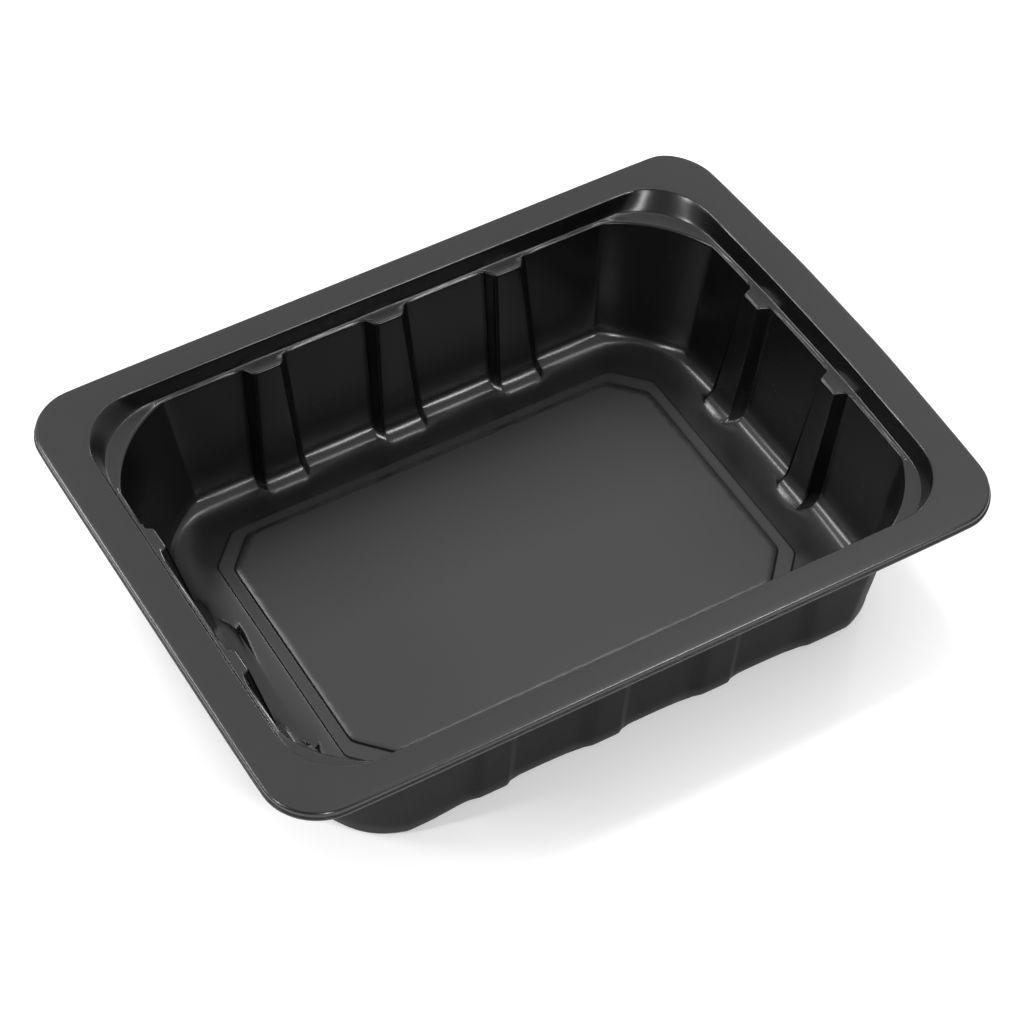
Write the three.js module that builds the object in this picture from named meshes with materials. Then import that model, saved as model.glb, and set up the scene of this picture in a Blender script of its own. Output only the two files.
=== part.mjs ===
import * as THREE from 'three';

// Rectangular black food tray drawn from one plastic sheet: flat rim with a turned-down edge, a shallow
// step under the rim, drafted walls with moulded ribs, and a raised eight-sided panel in the floor.
// Millimetres, +Z up, base ring on z = 0, long side along X.

const sheet = 0.8;             // plastic thickness
const height = 49.3;           // rim top above the table
const cornerSteps = 8;         // facets in each corner

// A plan is half sizes and a corner setback r. right and left move its end walls towards +X, north
// moves all of it towards +Y, bowed curves the right side, and kink is the angle of the creases where
// a flatter corner meets the sides.
const rim = { hx: 112.5, hy: 83.8, r: 16, bowed: 1 };   // outer border of the flat rim
const mouth = { hx: 102.1, hy: 74.8, r: 20.5, bowed: 1 }; // inner border of the flat rim
const bow = { at: -13, fall: 4.5e-4 };              // crown of the bowed side and fall per mm squared
const edgeRound = 0.5;         // rounding of the rim's two borders
const skirt = { drop: 2.6, kick: 0.4, lip: 0.6 };   // turned-down edge, its outward foot, foot thickness
const kickSlope = 0.15;        // height over which the foot flares out

const stepDepth = 6;           // rim top down to the ledge
const tighter = 3.5;           // smaller setback of the two front corners
const stepFoot = { hx: 99.8, hy: 73.3, r: 24.5, tighter, bowed: 1 }; // short upper wall at the ledge
const ledgeFall = 0.25;        // the ledge slopes down inwards by this
const ledgeRound = 0.45;       // rounding between the ledge and the wall below it
const roundTuck = 0.15;        // the wall starts this far behind the foot of that rounding

// The long inner wall, at the ledge and run on down to the floor.
const cornerKink = THREE.MathUtils.degToRad(20);
const wallTop = { hx: 98.4, hy: 72.4, r: 25.4, tighter, kink: cornerKink, bowed: 1 };
const wallFoot = { hx: 88.9, hy: 67.1, r: 21.2, right: 1, left: 0.3, north: -0.2 };
const insideFillet = 6;        // radius between the inner wall and the floor
const leftSpread = 1.4;        // the left fillet reaches this much further into the floor
const outsideFillet = 3.4;     // tighter radius between the outer wall and the base
const filletSteps = 5;

const rampFoot = { hx: 80.6, hy: 58, r: 17 };  // inner border of the flat ring
const offCentre = { right: -0.2, left: -0.2, north: 2 };  // of the panel and its border
const border = { hx: 73.8, hy: 49.5, cutX: 9.8, cutY: 10.4, ...offCentre };
const panel = { hx: 70.1, hy: 45.7, cutX: 9.2, cutY: 10.2, ...offCentre };
const panelRound = 1.6;        // softening of the panel's eight corners
const bevel = 0.35;            // plan width of the two small steps round the panel
const rampRise = 0.9;
const borderRise = 0.4;
const panelRise = 0.7;

// Ribs press into the tray. base and face are half widths at [ledge, floor].
const farRibs = { centres: [-41, -1.1, 38.9], depth: 3.7, base: [7.1, 8.5], face: [4.3, 6.4] };
const rightRibs = { centres: [-17.4, 22.2], depth: 3.7, base: [5.5, 7.2], face: [3.6, 5.4] };
const leftRibs = { centres: [-23, 26.6], depth: 2.2, base: [5.5, 7], face: [3.8, 5.4] };

// The front wall has wide shallow bays between narrow uprights instead.
const bayDepth = 1.4;
const uprightPitch = 35.7;
const uprightMiddle = -9;
const uprightHalf = 4.1;
const bayFlank = { after: 2.4, before: 4.6 };        // slope beside an upright, on its +X and -X side
const firstBay = { start: -63, run: 8, depth: 0.8 }; // shallow start beside the left corner

const straightX = 63;          // knots further out are drawn in on the floor's smaller rings
const straightY = 32;

const mix = (a, b, k) => a + (b - a) * k;

function grow(plan, d) {
  const share = Math.SQRT2 * Math.sin(Math.PI / 4 - (plan.kink ?? 0));
  return { ...plan, hx: plan.hx + d, hy: plan.hy + d, r: plan.r + d * share };
}

// A relief is four knots along a side: where it leaves the wall, its face's two ends, where it returns.
const reliefs = {
  front: () => {
    const bays = [{ from: firstBay.start, run: firstBay.run, depth: firstBay.depth, upright: -1 }];
    for (let i = -1; i < 2; i++) {
      const from = uprightMiddle + i * uprightPitch + uprightHalf;
      bays.push({ from, run: bayFlank.after, depth: bayDepth, upright: i + 1 });
    }
    return bays.map(({ from, run, depth, upright }) => {
      const to = uprightMiddle + upright * uprightPitch - uprightHalf;
      const slope = bayFlank.before * depth / bayDepth;
      return { knots: [from, from + run, to - slope, to], depth };
    });
  },
  far: (foot) => ribKnots(farRibs, foot),
  right: (foot) => ribKnots(rightRibs, foot),
  left: (foot) => ribKnots(leftRibs, foot),
};

function ribKnots({ centres, depth, base, face }, foot) {
  const wide = mix(base[0], base[1], foot);
  const narrow = mix(face[0], face[1], foot);
  return centres.map((at) => ({ knots: [at - wide, at - narrow, at + narrow, at + wide], depth }));
}

// Points (along, inward) of one side. skin shifts the flanks as an offset skin of the sheet needs.
function sideKnots(list, half, limit, relief, skin) {
  const squeeze = Math.min(1, half / limit);
  return list.flatMap(({ knots, depth }) => {
    const [a, b, c, d] = knots;
    const first = skin * Math.tan(Math.atan2(depth, b - a) / 2);
    const last = skin * Math.tan(Math.atan2(depth, d - c) / 2);
    return [[a + first, 0], [b + first, depth], [c - last, depth], [d - last, 0]]
      .map(([along, inward]) => [along * squeeze, inward * relief]);
  });
}

// Arc in the first quadrant, from the +X side to the +Y side. Without a kink it is a quarter round.
function roundCorner({ hx, hy, r, kink = 0 }) {
  const half = Math.PI / 4 - kink;
  const radius = r / Math.SQRT2 / Math.sin(half);
  const centre = (r + radius * Math.cos(half) * Math.SQRT2) / 2;
  return Array.from({ length: cornerSteps + 1 }, (_, i) => {
    const angle = Math.PI / 4 + half * (2 * i / cornerSteps - 1);
    return [hx - centre + radius * Math.cos(angle), hy - centre + radius * Math.sin(angle)];
  });
}

// Cut corner in the first quadrant with both of its bends softened.
function cutCorner({ hx, hy, cutX, cutY }) {
  const low = new THREE.Vector2(hx, hy - cutY);
  const high = new THREE.Vector2(hx - cutX, hy);
  const along = high.clone().sub(low).normalize().multiplyScalar(panelRound);
  const lowCurve = new THREE.QuadraticBezierCurve(
    new THREE.Vector2(low.x, low.y - panelRound), low, low.clone().add(along));
  const highCurve = new THREE.QuadraticBezierCurve(
    high.clone().sub(along), high, new THREE.Vector2(high.x - panelRound, high.y));
  const middle = low.clone().lerp(high, 0.5);
  return [...lowCurve.getPoints(3), middle, ...highCurve.getPoints(3)].map((p) => [p.x, p.y]);
}

// One closed ring of points at height z, anticlockwise from above, starting on the +X side.
function ring(plan, z, { relief = 0, foot = 0, skin = 0 } = {}) {
  const { hx, hy, right = 0, left = 0, north = 0, bowed = 0 } = plan;
  const corner = plan.cutX ? cutCorner(plan) : roundCorner(plan);
  const nearer = plan.tighter ? roundCorner({ ...plan, r: plan.r - plan.tighter }) : corner;
  const halfX = plan.cutX ? hx - plan.cutX - panelRound : hx - plan.r;
  const halfY = plan.cutX ? hy - plan.cutY - panelRound : hy - plan.r;
  const east = sideKnots(reliefs.right(foot), halfY, straightY, relief, skin);
  const west = sideKnots(reliefs.left(foot), halfY, straightY, relief, skin);
  const far = sideKnots(reliefs.far(foot), halfX, straightX, relief, skin);
  const front = sideKnots(reliefs.front(foot), halfX, straightX, relief, skin);
  const points = [
    ...east.map(([s, inward]) => [hx - inward, s]),
    ...corner,
    ...far.reverse().map(([s, inward]) => [s, hy - inward]),
    ...[...corner].reverse().map(([x, y]) => [-x, y]),
    ...west.reverse().map(([s, inward]) => [-hx + inward, s]),
    ...nearer.map(([x, y]) => [-x, -y]),
    ...front.map(([s, inward]) => [s, -hy + inward]),
    ...[...nearer].reverse().map(([x, y]) => [x, -y]),
  ];
  return points.map(([x, y]) => {
    const reach = Math.max(0, (Math.abs(x) - halfX) / (hx - halfX));
    const move = x > 0 ? right - bowed * bow.fall * (y - bow.at) ** 2 : left;
    return [x + reach * move, y + north, z];
  });
}

// Rings of the floor fillet, from the floor up to the wall.
function fillet(floorZ, radius, skin) {
  const rings = [];
  const below = sheet - floorZ;
  const rise = height - stepDepth - sheet;
  const slopeX = Math.atan2(wallTop.hx - wallFoot.hx, rise);
  const slopeY = Math.atan2(wallTop.hy - wallFoot.hy, rise);
  const toeX = (radius - below) * Math.tan((Math.PI / 2 - slopeX) / 2);
  const toeY = (radius - below) * Math.tan((Math.PI / 2 - slopeY) / 2);
  for (let i = 0; i <= filletSteps; i++) {
    const k = i / filletSteps;
    const turnX = k * (Math.PI / 2 - slopeX);
    const turnY = k * (Math.PI / 2 - slopeY);
    const z = floorZ + radius * (1 - Math.cos(turnY));
    const up = (z - sheet) / rise;
    const upright = Math.sin(turnX) / Math.cos(slopeX);
    const plan = {
      hx: wallFoot.hx - toeX + radius * Math.sin(turnX),
      hy: wallFoot.hy - toeY + radius * Math.sin(turnY),
      r: wallFoot.r - toeY + radius * Math.sin(turnY),
      right: wallFoot.right * (1 - up),
      left: wallFoot.left * (1 - up) + leftSpread * (1 - upright),
      north: wallFoot.north * (1 - up),
      tighter,
      kink: cornerKink * upright,
      bowed: 1,
    };
    rings.push(ring(plan, z, { relief: 1, foot: 1 - z / height, skin: skin * Math.sin(turnY) }));
  }
  return rings;
}

// Inside of the tray, from the panel out to the edge.
function insideRings() {
  const floorZ = sheet;
  const borderZ = floorZ + rampRise;
  const ledgeZ = height - stepDepth;
  return [
    ring(panel, borderZ + borderRise + panelRise),
    ring(grow(panel, bevel), borderZ + borderRise),
    ring(border, borderZ + borderRise),
    ring(grow(border, bevel), borderZ),
    ring(rampFoot, floorZ),
    ...fillet(floorZ, insideFillet, 0),
    ring(grow(wallTop, -roundTuck), ledgeZ - ledgeFall - ledgeRound, { relief: 1 }),
    ring(grow(wallTop, ledgeRound), ledgeZ - ledgeFall, { relief: 1 }),
    ring(stepFoot, ledgeZ),
    ring(grow(mouth, -edgeRound), height - edgeRound),
    ring(mouth, height),
    ring(rim, height),
    ring(grow(rim, edgeRound), height - edgeRound),
    ring(grow(rim, edgeRound), height - skirt.drop + skirt.lip + kickSlope),
    ring(grow(rim, edgeRound + skirt.kick), height - skirt.drop + skirt.lip),
    ring(grow(rim, edgeRound + skirt.kick), height - skirt.drop),
  ];
}

// Outside, from the edge back in under the panel.
function outsideRings() {
  const borderZ = rampRise;
  const ledgeZ = height - stepDepth - sheet;
  const skirtInside = grow(rim, edgeRound - sheet);
  return [
    ring(skirtInside, height - skirt.drop),
    ring(skirtInside, height - sheet),
    ring(grow(mouth, sheet - edgeRound / 2), height - sheet),
    ring(grow(stepFoot, sheet), ledgeZ),
    ring(grow(wallTop, sheet), ledgeZ - ledgeFall, { relief: 1, skin: sheet }),
    ...fillet(0, outsideFillet, sheet).reverse(),
    ring(rampFoot, 0),
    ring(grow(border, bevel), borderZ),
    ring(border, borderZ + borderRise),
    ring(grow(panel, bevel), borderZ + borderRise),
    ring(panel, borderZ + borderRise + panelRise),
  ];
}

// Joins rings into one closed skin; the first and last ring are capped from their centres.
function loft(rings) {
  const count = rings[0].length;
  const position = rings.flat(2);
  const index = [];
  for (let row = 0; row < rings.length - 1; row++) {
    for (let i = 0; i < count; i++) {
      const a = row * count + i;
      const b = row * count + (i + 1) % count;
      index.push(a, a + count, b, b, a + count, b + count);
    }
  }
  const firstCentre = position.length / 3;
  position.push(0, 0, rings[0][0][2]);
  position.push(0, 0, rings.at(-1)[0][2]);
  const lastRow = (rings.length - 1) * count;
  for (let i = 0; i < count; i++) {
    const next = (i + 1) % count;
    index.push(firstCentre, i, next);
    index.push(firstCentre + 1, lastRow + next, lastRow + i);
  }
  const geometry = new THREE.BufferGeometry();
  geometry.setAttribute('position', new THREE.Float32BufferAttribute(position, 3));
  geometry.setIndex(index);
  geometry.computeVertexNormals();
  return geometry;
}

const blackPlastic = new THREE.MeshStandardMaterial({ color: 0x1d1d1e, roughness: 0.3, metalness: 0 });
const tray = new THREE.Mesh(loft([...insideRings(), ...outsideRings()]), blackPlastic);
tray.name = 'tray';

const part = new THREE.Group();
part.add(tray);

export default part;
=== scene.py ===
import math

import bmesh
import bpy
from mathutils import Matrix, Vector


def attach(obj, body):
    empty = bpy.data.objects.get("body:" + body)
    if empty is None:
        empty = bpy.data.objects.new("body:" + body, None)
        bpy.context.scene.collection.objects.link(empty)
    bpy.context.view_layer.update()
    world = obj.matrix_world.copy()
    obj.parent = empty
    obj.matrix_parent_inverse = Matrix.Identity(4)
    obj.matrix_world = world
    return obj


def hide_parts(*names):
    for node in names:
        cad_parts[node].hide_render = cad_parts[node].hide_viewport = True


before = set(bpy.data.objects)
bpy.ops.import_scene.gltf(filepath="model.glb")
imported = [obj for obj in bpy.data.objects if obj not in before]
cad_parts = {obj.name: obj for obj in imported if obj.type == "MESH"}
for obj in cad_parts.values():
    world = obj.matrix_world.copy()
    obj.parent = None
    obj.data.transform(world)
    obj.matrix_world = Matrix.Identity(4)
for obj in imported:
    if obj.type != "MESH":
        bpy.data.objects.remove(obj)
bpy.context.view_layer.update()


def onlySelect(piece):
    bpy.ops.object.select_all(action="DESELECT")
    piece.select_set(True)
    bpy.context.view_layer.objects.active = piece


def pickEdges(piece, test):
    # edit mode: selects the edges that pass test(middle, fold in degrees, direction), and counts them
    mesh = bmesh.from_edit_mesh(piece.data)
    picked = 0
    for edge in mesh.edges:
        ends = edge.verts[0].co, edge.verts[1].co
        fold = math.degrees(edge.calc_face_angle(0))
        chosen = test((ends[0] + ends[1]) / 2, fold, (ends[1] - ends[0]).normalized())
        edge.select_set(chosen)
        picked += chosen
    bmesh.update_edit_mesh(piece.data)
    return picked


def applyAll(piece):
    onlySelect(piece)
    for modifier in list(piece.modifiers):
        bpy.ops.object.modifier_apply(modifier=modifier.name)


# ---- the formed sheet ----

sheetShape = {
    "mergeWithin": 1e-6,         # joins the loose triangles of the plain solid
    "centreWithin": 1e-5,        # finds the middle points of the floor's two fans
    "sharpFold": 26,             # degrees; folds above this get a rounded edge
    "stepFold": 19,              # the same for the small steps in the floor
    "creaseFold": 15,            # upright folds of the wall's corners and bays above this are softened
    "uprightAbove": 0.7,         # upward share of an edge's direction that makes it upright
    "rimAbove": 0.0462,          # edges above this height belong to the rim
    "skirtBelow": 0.0482,        # edges of the rim below this are the foot of its turned-down edge
    "floorBelow": 0.0046,        # the floor panel and its border are below this
    "floorX": 0.0755,            # and within this far of the middle
    "floorY": 0.0525,
    "rimRound": 0.00018,
    "skirtRound": 0.00006,
    "wallRound": 0.00024,
    "floorRound": 0.00012,
    "creaseRound": 0.0009,
    "roundSegments": 2,
    "holdLines": (0.0078, 0.0115, 0.0395),   # heights of extra lines that keep the walls straight
    "finerLevels": 1,
}


def sharpIn(zone):
    def test(middle, fold, direction):
        inFloor = (middle.z < sheetShape["floorBelow"] and abs(middle.x) < sheetShape["floorX"]
                   and abs(middle.y) < sheetShape["floorY"])
        if inFloor:
            return zone == "floor" and fold > sheetShape["stepFold"]
        inRim = middle.z >= sheetShape["rimAbove"]
        if fold < sheetShape["sharpFold"]:
            upright = abs(direction.z) > sheetShape["uprightAbove"] and not inRim
            return zone == "crease" and upright and fold > sheetShape["creaseFold"]
        if not inRim:
            return zone == "wall"
        return zone == ("skirt" if middle.z < sheetShape["skirtBelow"] else "rim")
    return test


def joinTriangles(piece):
    # edit mode: one skin of four-sided faces out of the plain solid's loose triangles
    bpy.ops.mesh.select_mode(type="VERT")
    bpy.ops.mesh.select_all(action="SELECT")
    bpy.ops.mesh.remove_doubles(threshold=sheetShape["mergeWithin"])
    mesh = bmesh.from_edit_mesh(piece.data)
    for vert in mesh.verts:
        vert.select_set(vert.co.xy.length < sheetShape["centreWithin"])
    mesh.select_flush(False)
    bmesh.update_edit_mesh(piece.data)
    bpy.ops.mesh.dissolve_verts()
    bpy.ops.mesh.select_all(action="SELECT")
    bpy.ops.mesh.tris_convert_to_quads(
        face_threshold=math.pi, shape_threshold=math.pi, topology_influence=2)


def buildSheet(node):
    onlySelect(node)
    bpy.ops.object.duplicate()
    piece = bpy.context.object
    piece.name = piece.data.name = "formedSheet"
    bpy.ops.object.mode_set(mode="EDIT")
    joinTriangles(piece)
    bpy.ops.mesh.select_mode(type="EDGE")
    for zone in ("wall", "crease", "floor", "skirt", "rim"):
        bpy.ops.mesh.select_all(action="DESELECT")
        count = pickEdges(piece, sharpIn(zone))
        bpy.ops.mesh.bevel(offset=sheetShape[zone + "Round"], segments=sheetShape["roundSegments"],
                           affect="EDGES", offset_type="OFFSET")
        print("rounded", count, zone, "edges")
    for height in sheetShape["holdLines"]:
        bpy.ops.mesh.select_all(action="SELECT")
        bpy.ops.mesh.bisect(plane_co=(0, 0, height), plane_no=(0, 0, 1))
    bpy.ops.mesh.select_all(action="SELECT")
    bpy.ops.mesh.remove_doubles(threshold=sheetShape["mergeWithin"])
    bpy.ops.mesh.normals_make_consistent(inside=False)
    bpy.ops.object.mode_set(mode="OBJECT")
    finer = piece.modifiers.new("finer", "SUBSURF")
    finer.levels = finer.render_levels = sheetShape["finerLevels"]
    applyAll(piece)
    bpy.ops.object.shade_smooth()
    print("formed sheet:", len(piece.data.polygons), "faces")
    return piece


sheet = buildSheet(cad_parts["tray"])
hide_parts("tray")
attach(sheet, "root")

# ---- black plastic ----

plasticLook = {
    "black": (0.0025, 0.0025, 0.0026, 1),
    "ior": 1.5,
    "wallRough": 0.22,
    "outsideIor": 1.22,
    "outsideRough": 0.5,
    "outsideTurn": -0.005,       # the sheet's outside faces look down by at least this
    "flatRough": 0.36,           # of the level rim and floor
    "flatTurn": (0.90, 0.995),   # upward share of the normal, on the walls and on what is level
    "roughSpread": 0.05,
    "grainSize": 2600,
    "grainDetail": 3,
    "grainDepth": 0.000012,
    "rippleSize": 90,
    "rippleDetail": 1,
    "rippleDepth": 0.00003,
    "scuffColor": (0.012, 0.012, 0.0122, 1),
    "scuffAmount": 0.04,
    "scuffTurns": (0.5, -0.9),   # the two ways that the scratches run
    "scuffTilt": (0.2, 0.1),
    "scuffStretch": (40, 2200, 900),
    "scuffDetail": 2,
    "scuffCut": (0.66, 0.74),    # noise values where a scratch starts and is full
    "scuffCloud": 35,
    "cloudCut": (0.45, 0.65),
    # lighter colour of the floor panel: partly its own dull haze, partly painted light
    "hazeAndPaintedLightColor": (0.022, 0.022, 0.0224, 1),
    "hazeAndPaintedLightFrom": (0.0012, 0.0021),    # heights where the haze and painted light on the panel start and are full
    "hazeAndPaintedLightUpTo": (0.0065, 0.0032),    # heights where it is gone again and is still full
    "paintedShadeAlong": (0.055, 0),         # far end and near end of the painted shade that fades it in Y, darker towards the far wall
    "paintedShadeFar": 0.1,
}


def addSocket(tree, name, direction, kind, value=None):
    socket = tree.interface.new_socket(name=name, in_out=direction, socket_type=kind)
    if value is not None:
        socket.default_value = value


def startGroup(name):
    # empty node group with a Position input: its tree and its two end nodes
    tree = bpy.data.node_groups.new(name, "ShaderNodeTree")
    addSocket(tree, "Position", "INPUT", "NodeSocketVector")
    return tree, tree.nodes.new("NodeGroupInput"), tree.nodes.new("NodeGroupOutput")


def addMath(tree, operation, first, second):
    node = tree.nodes.new("ShaderNodeMath")
    node.operation = operation
    tree.links.new(first, node.inputs[0])
    tree.links.new(second, node.inputs[1])
    return node.outputs[0]


def addRange(tree, value, start=(0, 1), end=(0, 1)):
    # moves value from the range start to the range end
    node = tree.nodes.new("ShaderNodeMapRange")
    node.inputs["From Min"].default_value, node.inputs["From Max"].default_value = start
    node.inputs["To Min"].default_value, node.inputs["To Max"].default_value = end
    tree.links.new(value, node.inputs["Value"])
    return node.outputs["Result"]


def makeGrainGroup():
    # moulded surface: a fine grain and slow ripples, as two masks
    tree, source, result = startGroup("sheetGrain")
    for name, title in (("grain", "Grain"), ("ripple", "Ripple")):
        addSocket(tree, title + " Size", "INPUT", "NodeSocketFloat", plasticLook[name + "Size"])
        addSocket(tree, title, "OUTPUT", "NodeSocketFloat")
        noise = tree.nodes.new("ShaderNodeTexNoise")
        noise.inputs["Detail"].default_value = plasticLook[name + "Detail"]
        tree.links.new(source.outputs["Position"], noise.inputs["Vector"])
        tree.links.new(source.outputs[title + " Size"], noise.inputs["Scale"])
        tree.links.new(noise.outputs["Fac"], result.inputs[title])
    return tree


def makeScuffGroup():
    # faint handling marks: thin scratches in two directions, thinned out by a cloudy mask
    tree, source, result = startGroup("handlingMarks")
    addSocket(tree, "Amount", "INPUT", "NodeSocketFloat", plasticLook["scuffAmount"])
    addSocket(tree, "Marks", "OUTPUT", "NodeSocketFloat")
    link = tree.links.new
    scratches = []
    for turn in plasticLook["scuffTurns"]:
        lay = tree.nodes.new("ShaderNodeMapping")
        lay.inputs["Rotation"].default_value = (*plasticLook["scuffTilt"], turn)
        lay.inputs["Scale"].default_value = plasticLook["scuffStretch"]
        streaks = tree.nodes.new("ShaderNodeTexNoise")
        streaks.inputs["Scale"].default_value = 1
        streaks.inputs["Detail"].default_value = plasticLook["scuffDetail"]
        link(source.outputs["Position"], lay.inputs["Vector"])
        link(lay.outputs["Vector"], streaks.inputs["Vector"])
        scratches.append(addRange(tree, streaks.outputs["Fac"], plasticLook["scuffCut"]))
    cloud = tree.nodes.new("ShaderNodeTexNoise")
    cloud.inputs["Scale"].default_value = plasticLook["scuffCloud"]
    link(source.outputs["Position"], cloud.inputs["Vector"])
    patches = addRange(tree, cloud.outputs["Fac"], plasticLook["cloudCut"])
    some = addMath(tree, "MULTIPLY", addMath(tree, "MAXIMUM", *scratches), patches)
    link(addMath(tree, "MULTIPLY", some, source.outputs["Amount"]), result.inputs["Marks"])
    return tree


def makeHazeAndPaintedLightGroup():
    # dull haze on the raised floor panel, partly painted light: a lighter colour, with painted shade
    # fading it towards the far wall
    tree, source, result = startGroup("floorHazeAndPaintedLight")
    addSocket(tree, "HazeAndPaintedLight", "OUTPUT", "NodeSocketFloat")
    split = tree.nodes.new("ShaderNodeSeparateXYZ")
    tree.links.new(source.outputs["Position"], split.inputs[0])
    raised = addRange(tree, split.outputs["Z"], plasticLook["hazeAndPaintedLightFrom"])
    low = addRange(tree, split.outputs["Z"], plasticLook["hazeAndPaintedLightUpTo"])
    near = addRange(tree, split.outputs["Y"], plasticLook["paintedShadeAlong"], (plasticLook["paintedShadeFar"], 1))
    onPanel = addMath(tree, "MULTIPLY", addMath(tree, "MULTIPLY", raised, near), low)
    tree.links.new(onPanel, result.inputs["HazeAndPaintedLight"])
    return tree


plasticGroups = {"grain": makeGrainGroup(), "marks": makeScuffGroup(), "hazeAndPaintedLight": makeHazeAndPaintedLightGroup()}


def makePlastic(name, ior, wallRough):
    material = bpy.data.materials.new(name)
    material.use_nodes = True
    tree = material.node_tree
    link = tree.links.new
    shader = tree.nodes["Principled BSDF"]
    shader.inputs["IOR"].default_value = ior
    place = tree.nodes.new("ShaderNodeTexCoord")
    effects = {}
    for effect, group in plasticGroups.items():
        effects[effect] = tree.nodes.new("ShaderNodeGroup")
        effects[effect].node_tree = group
        link(place.outputs["Object"], effects[effect].inputs["Position"])
    grain, marks, hazeAndPaintedLight = effects["grain"], effects["marks"], effects["hazeAndPaintedLight"]

    shape = tree.nodes.new("ShaderNodeNewGeometry")
    split = tree.nodes.new("ShaderNodeSeparateXYZ")
    link(shape.outputs["Normal"], split.inputs[0])
    level = addRange(tree, split.outputs["Z"], plasticLook["flatTurn"])     # 0 on the walls
    rough = addRange(tree, level, end=(wallRough, plasticLook["flatRough"]))
    vary = tree.nodes.new("ShaderNodeMath")
    vary.operation = "MULTIPLY_ADD"
    vary.inputs[1].default_value = plasticLook["roughSpread"]
    link(grain.outputs["Ripple"], vary.inputs[0])
    link(rough, vary.inputs[2])
    link(addMath(tree, "ADD", vary.outputs[0], marks.outputs["Marks"]), shader.inputs["Roughness"])

    # panel colour: black mixed with the haze and painted light, faded by painted shade towards the far
    # wall
    hazeAndPaintedLightMix = tree.nodes.new("ShaderNodeMix")
    hazeAndPaintedLightMix.data_type = "RGBA"
    hazeAndPaintedLightMix.inputs["A"].default_value = plasticLook["black"]
    hazeAndPaintedLightMix.inputs["B"].default_value = plasticLook["hazeAndPaintedLightColor"]
    link(hazeAndPaintedLight.outputs["HazeAndPaintedLight"], hazeAndPaintedLightMix.inputs["Factor"])
    tint = tree.nodes.new("ShaderNodeMix")
    tint.data_type = "RGBA"
    link(hazeAndPaintedLightMix.outputs["Result"], tint.inputs["A"])
    tint.inputs["B"].default_value = plasticLook["scuffColor"]
    link(marks.outputs["Marks"], tint.inputs["Factor"])
    link(tint.outputs["Result"], shader.inputs["Base Color"])

    ripple = tree.nodes.new("ShaderNodeBump")
    ripple.inputs["Distance"].default_value = plasticLook["rippleDepth"]
    link(grain.outputs["Ripple"], ripple.inputs["Height"])
    fine = tree.nodes.new("ShaderNodeBump")
    fine.inputs["Distance"].default_value = plasticLook["grainDepth"]
    link(grain.outputs["Grain"], fine.inputs["Height"])
    link(ripple.outputs["Normal"], fine.inputs["Normal"])
    link(fine.outputs["Normal"], shader.inputs["Normal"])
    return material


sheet.data.materials.clear()
sheet.data.materials.append(
    makePlastic("blackFormedPlastic", plasticLook["ior"], plasticLook["wallRough"]))
sheet.data.materials.append(
    makePlastic("blackFormedPlasticOutside", plasticLook["outsideIor"], plasticLook["outsideRough"]))
for face in sheet.data.polygons:
    outside = face.normal.z < plasticLook["outsideTurn"] and face.center.z < sheetShape["rimAbove"]
    face.material_index = int(outside)
print("plastic done")

# ---- camera ----

cameraPlace = {
    "azimuth": -29.95,
    "elevation": 47.99,
    "distance": 0.9554,
    "rimCentre": (-0.0012, 0, 0.0493),
    "lens": 120.5,
    "sensor": 36,
    "shift": (0.00465, -0.0546),
    "clip": (0.05, 20),
}
turn, lift = math.radians(cameraPlace["azimuth"]), math.radians(cameraPlace["elevation"])
back = Vector((math.sin(turn) * math.cos(lift), -math.cos(turn) * math.cos(lift), math.sin(lift)))
bpy.ops.object.camera_add(location=Vector(cameraPlace["rimCentre"]) + back * cameraPlace["distance"])
camera = bpy.context.object
camera.rotation_mode = "QUATERNION"
camera.rotation_quaternion = (-back).to_track_quat("-Z", "Y")
camera.data.sensor_width = cameraPlace["sensor"]
camera.data.lens = cameraPlace["lens"]
camera.data.shift_x, camera.data.shift_y = cameraPlace["shift"]
camera.data.clip_start, camera.data.clip_end = cameraPlace["clip"]
bpy.context.scene.camera = camera
print("camera placed")

# ---- studio ----

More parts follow.
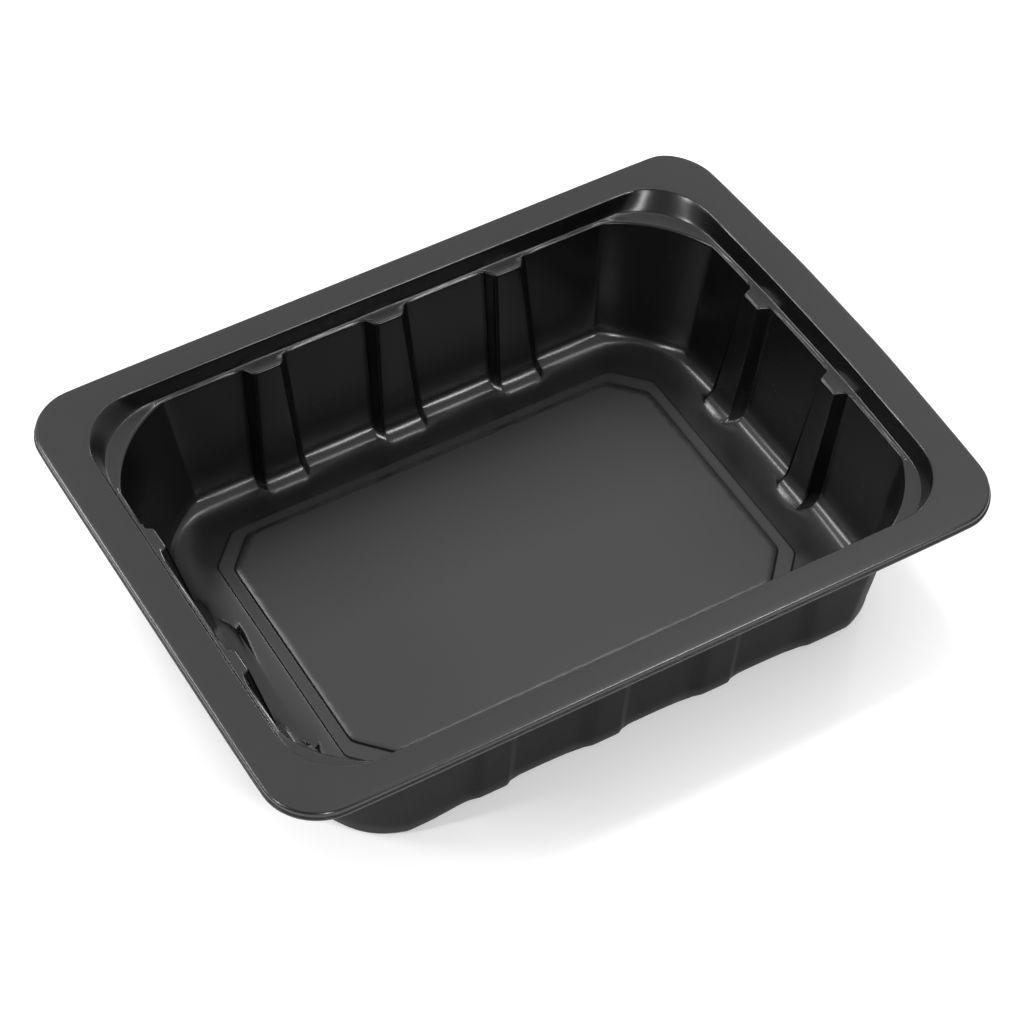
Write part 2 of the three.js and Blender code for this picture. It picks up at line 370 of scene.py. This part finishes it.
studio = {
    "brightWay": (0.334, 0.58, 0.743),
    "world": (0.45, 1.1),        # strength away from brightWay and towards it
    "worldTurn": (0.1, 0.8),     # share of brightWay where the change starts and ends
    "floorGlow": 0.14,
    "floorColor": (0.92, 0.92, 0.92, 1),
    "floorRough": 0.8,
    "floorSize": 12,
}
lamps = {
    # name: place, width, depth, power; all aim at the middle of the base
    "topRight": ((0.32, 0.12, 0.89), 0.12, 0.14, 1.6),
    "topLeft": ((-0.26, 0.55, 0.70), 0.10, 0.14, 1.3),
    "frontRight": ((0.32, -0.71, 0.55), 0.14, 0.16, 2.4),
    "frontLeft": ((-0.74, 0.40, 0.42), 0.12, 0.16, 1.4),
    "leftLow": ((-0.70, 0.56, 0.30), 0.12, 0.14, 1.5),
    "behindLow": ((0.33, 0.92, 0.15), 0.16, 0.10, 0.8),
    "rightLow": ((0.74, 0.57, 0.28), 0.12, 0.12, 1.2),
    "cornerLeft": ((-0.31, -0.79, 0.46), 0.06, 0.16, 2.0),
    "cornerRight": ((-0.82, 0.02, 0.50), 0.06, 0.16, 2.4),
}


def addLamp(name, place, width, depth, power):
    bpy.ops.object.light_add(type="AREA", location=place)
    lamp = bpy.context.object
    lamp.name = name
    lamp.data.shape = "RECTANGLE"
    lamp.data.size, lamp.data.size_y = width, depth
    lamp.data.energy = power
    lamp.rotation_euler = (-Vector(place)).to_track_quat("-Z", "Y").to_euler()


for name, values in lamps.items():
    addLamp(name, *values)

world = bpy.data.worlds.new("studioAir")
bpy.context.scene.world = world
world.use_nodes = True
air = world.node_tree
sky = air.nodes["Background"]
sky.inputs["Color"].default_value = (1, 1, 1, 1)
way = air.nodes.new("ShaderNodeTexCoord")
facing = air.nodes.new("ShaderNodeVectorMath")
facing.operation = "DOT_PRODUCT"
facing.inputs[1].default_value = studio["brightWay"]
air.links.new(way.outputs["Generated"], facing.inputs[0])
strength = addRange(air, facing.outputs["Value"], studio["worldTurn"], studio["world"])
air.links.new(strength, sky.inputs["Strength"])

bpy.ops.mesh.primitive_plane_add(size=studio["floorSize"], location=(0, 0, 0))
table = bpy.context.object
table.name = "table"
paper = bpy.data.materials.new("paleTable")
paper.use_nodes = True
paint = paper.node_tree.nodes["Principled BSDF"]
paint.inputs["Base Color"].default_value = studio["floorColor"]
paint.inputs["Roughness"].default_value = studio["floorRough"]
paint.inputs["Emission Color"].default_value = (1, 1, 1, 1)
paint.inputs["Emission Strength"].default_value = studio["floorGlow"]
table.data.materials.append(paper)
print("studio lit")

bpy.context.scene.view_settings.view_transform = "Standard"
